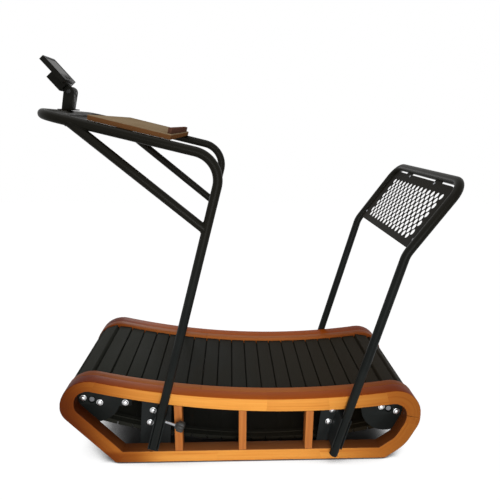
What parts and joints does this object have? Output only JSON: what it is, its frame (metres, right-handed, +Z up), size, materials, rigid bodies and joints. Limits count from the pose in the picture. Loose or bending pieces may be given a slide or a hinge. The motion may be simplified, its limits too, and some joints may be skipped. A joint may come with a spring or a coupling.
{
  "type": "treadmill desk",
  "caption": "Manual treadmill with a dished slat deck in wooden side frames, a rear lean hoop with a perforated panel, and a walking desk with a tilting console.",
  "frame": {"origin": "on the floor, centred under the overall outline", "axes": "+Z up, -X towards the desk and console (the way the walker faces), +Y towards the walker's right"},
  "size_m": [1.7318, 0.8538, 1.7579],
  "materials": {
    "frame_wood": "oiled",
    "desk_wood": "oiled",
    "edge_wood": "oiled",
    "slat_rubber": "matte",
    "black_steel": "powder coat",
    "black_tube": "satin",
    "bare_steel": "ground",
    "chrome": "polished",
    "black_plastic": "matte",
    "grey_plastic": "gloss",
    "screen_glass": "gloss",
    "key_plastic": "matte",
    "soft_rubber": "matte"
  },
  "bodies": {
    "frame": {"left_side_frame": "frame_wood", "left_front_divider": "frame_wood", "left_middle_divider": "frame_wood", "left_rear_divider": "frame_wood", "right_side_frame": "frame_wood", "right_front_divider": "frame_wood", "right_middle_divider": "frame_wood", "right_rear_divider": "frame_wood", "left_inner_rail": "frame_wood", "right_inner_rail": "frame_wood", "front_left_foot": "soft_rubber", "front_right_foot": "soft_rubber", "rear_left_foot": "soft_rubber", "rear_right_foot": "soft_rubber", "slat_belt": "slat_rubber", "front_left_side_plate": "black_steel", "front_right_side_plate": "black_steel", "rear_left_side_plate": "black_steel", "rear_right_side_plate": "black_steel", "front_left_bearing_housing": "black_steel", "front_right_bearing_housing": "black_steel", "rear_left_bearing_housing": "black_steel", "rear_right_bearing_housing": "black_steel", "left_bearing_rail": "black_steel", "right_bearing_rail": "black_steel", "left_upright_clamp": "black_steel", "left_hoop_clamp": "black_steel", "right_upright_clamp": "black_steel", "right_hoop_clamp": "black_steel", "front_cross_member": "black_steel", "middle_cross_member": "black_steel", "rear_cross_member": "black_steel", "rear_hoop": "black_tube", "left_hoop_cap": "soft_rubber", "right_hoop_cap": "soft_rubber", "lean_panel": "black_tube"},
    "front_drum": {"front_axle": "bare_steel", "front_left_pulley": "black_plastic", "front_right_pulley": "black_plastic"},
    "rear_drum": {"rear_axle": "bare_steel", "rear_left_pulley": "black_plastic", "rear_right_pulley": "black_plastic"},
    "desk": {"desk_frame": "black_tube", "left_brace": "black_tube", "right_brace": "black_tube", "desk_board": "desk_wood", "desk_ledge": "edge_wood", "post_shoe": "black_tube", "console_post": "black_tube", "console_pivot_bolt": "chrome"},
    "console": {"console_shell": "black_plastic", "console_bezel": "grey_plastic", "console_screen": "screen_glass"},
    "mode_button": {"mode_key": "key_plastic"},
    "reset_button": {"reset_key": "key_plastic"},
    "left_knob": {"left_lock_knob": "black_plastic"},
    "right_knob": {"right_lock_knob": "black_plastic"}
  },
  "joints": [
    {"name": "front_drum_spin", "type": "hinge", "parent": "frame", "child": "front_drum", "pos_m": [-0.69402, 0, 0.28792], "axis": [0, 1, 0], "continuous": true},
    {"name": "rear_drum_spin", "type": "hinge", "parent": "frame", "child": "rear_drum", "pos_m": [0.65798, 0, 0.22157], "axis": [0, 1, 0], "continuous": true},
    {"name": "desk_height", "type": "slide", "parent": "frame", "child": "desk", "axis": [0.2444, 0, 0.9697], "range_m": [0, 0.09]},
    {"name": "console_tilt", "type": "hinge", "parent": "desk", "child": "console", "pos_m": [-0.76854, 0, 1.61714], "axis": [0, 1, 0], "range_deg": [-10, 25]},
    {"name": "mode_press", "type": "slide", "parent": "console", "child": "mode_button", "axis": [-0.7478, 0, -0.6639], "range_m": [0, 0.0015], "stiffness_N_per_m": 400, "springref_m": -0.001},
    {"name": "reset_press", "type": "slide", "parent": "console", "child": "reset_button", "axis": [-0.7478, 0, -0.6639], "range_m": [0, 0.0015], "stiffness_N_per_m": 400, "springref_m": -0.001},
    {"name": "left_knob_turn", "type": "hinge", "parent": "frame", "child": "left_knob", "pos_m": [-0.37968, -0.382, 0.23781], "axis": [0.9485, -0.2079, -0.239], "range_deg": [0, 360]},
    {"name": "right_knob_turn", "type": "hinge", "parent": "frame", "child": "right_knob", "pos_m": [-0.37968, 0.382, 0.23781], "axis": [0.9485, 0.2079, -0.239], "range_deg": [0, 360]}
  ],
  "couplings": [
    {"joint": "rear_drum_spin", "follows": "front_drum_spin", "ratio": 1}
  ]
}
